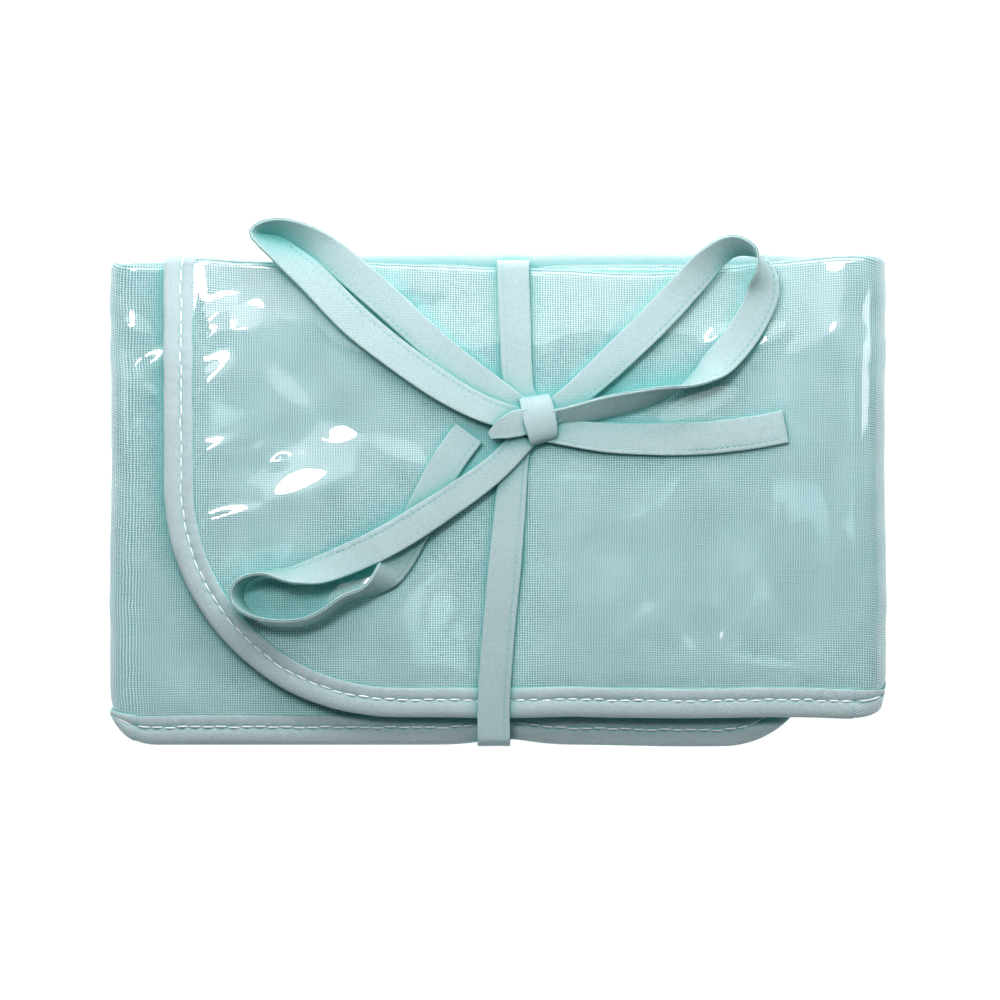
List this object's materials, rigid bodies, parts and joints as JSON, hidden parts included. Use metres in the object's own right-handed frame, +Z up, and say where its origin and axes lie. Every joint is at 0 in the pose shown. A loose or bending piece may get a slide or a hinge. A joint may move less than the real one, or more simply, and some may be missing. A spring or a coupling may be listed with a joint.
{
  "type": "changing pad",
  "caption": "Padded folding changing pad with a clear wipe-clean face over woven cotton, a taped edge, two flaps folded over a middle panel, and a fabric tie in a bow.",
  "frame": {"origin": "bottom centre of the folded pad, on the surface it lies on, with the tie left out", "axes": "+X along the folded pad's longer side, towards the right fold; +Y across it, towards the folded top edge; +Z up, out of the bow"},
  "size_m": [0.2494, 0.1737, 0.0332],
  "materials": {
    "clear_film": "clear flexible film, glossy, with soft wrinkles",
    "gauze": "open plain-weave cotton, aqua",
    "wadding": "thin bonded fibre wadding",
    "backing_cloth": "plain-weave cotton backing",
    "edging_tape": "bias-cut cotton tape, pressed",
    "thread": "polyester sewing thread, off-white",
    "tie_cloth": "folded and sewn cotton tape"
  },
  "bodies": {
    "middle_panel": {"middle_film": "clear_film", "middle_gauze": "gauze", "middle_wadding": "wadding", "middle_backing": "backing_cloth", "middle_binding": "edging_tape", "middle_thread": "thread", "left_fold_film": "clear_film", "left_fold_gauze": "gauze", "left_fold_wadding": "wadding", "left_fold_backing": "backing_cloth", "left_fold_binding": "edging_tape", "right_fold_film": "clear_film", "right_fold_gauze": "gauze", "right_fold_wadding": "wadding", "right_fold_backing": "backing_cloth", "right_fold_binding": "edging_tape", "tie_back_strap": "tie_cloth", "tie_bartack": "thread"},
    "left_flap": {"left_flap_film": "clear_film", "left_flap_gauze": "gauze", "left_flap_wadding": "wadding", "left_flap_backing": "backing_cloth", "left_flap_binding": "edging_tape", "left_flap_thread": "thread"},
    "right_flap": {"right_flap_film": "clear_film", "right_flap_gauze": "gauze", "right_flap_wadding": "wadding", "right_flap_backing": "backing_cloth", "right_flap_binding": "edging_tape", "right_flap_thread": "thread"},
    "tie": {"tie_top_strap": "tie_cloth", "tie_bottom_strap": "tie_cloth", "tie_left_loop": "tie_cloth", "tie_right_loop": "tie_cloth", "tie_left_tail": "tie_cloth", "tie_right_tail": "tie_cloth", "tie_knot": "tie_cloth", "tie_knot_tuck": "tie_cloth"}
  },
  "joints": [
    {"name": "right_flap_fold", "type": "hinge", "parent": "middle_panel", "child": "right_flap", "pos_m": [0.11385, 0, 0.01085], "axis": [0, 1, 0], "range_deg": [0, 170], "deforming": ["right_fold_film", "right_fold_gauze", "right_fold_wadding", "right_fold_backing", "right_fold_binding"]},
    {"name": "left_flap_fold", "type": "hinge", "parent": "middle_panel", "child": "left_flap", "pos_m": [-0.1173, 0, 0.0074], "axis": [0, -1, 0], "range_deg": [0, 14], "deforming": ["left_fold_film", "left_fold_gauze", "left_fold_wadding", "left_fold_backing", "left_fold_binding"]},
    {"name": "tie_swing", "type": "hinge", "parent": "middle_panel", "child": "tie", "pos_m": [0.0042, 0.0781, 0.0074], "axis": [-1, 0, 0], "range_deg": [0, 80], "deforming": ["tie_top_strap", "tie_bottom_strap", "tie_left_loop", "tie_right_loop", "tie_left_tail", "tie_right_tail", "tie_knot", "tie_knot_tuck"]}
  ],
  "couplings": [
    {"joint": "left_flap_fold", "follows": "right_flap_fold", "ratio": 0.08},
    {"joint": "tie_swing", "follows": "right_flap_fold", "ratio": 0.47}
  ]
}
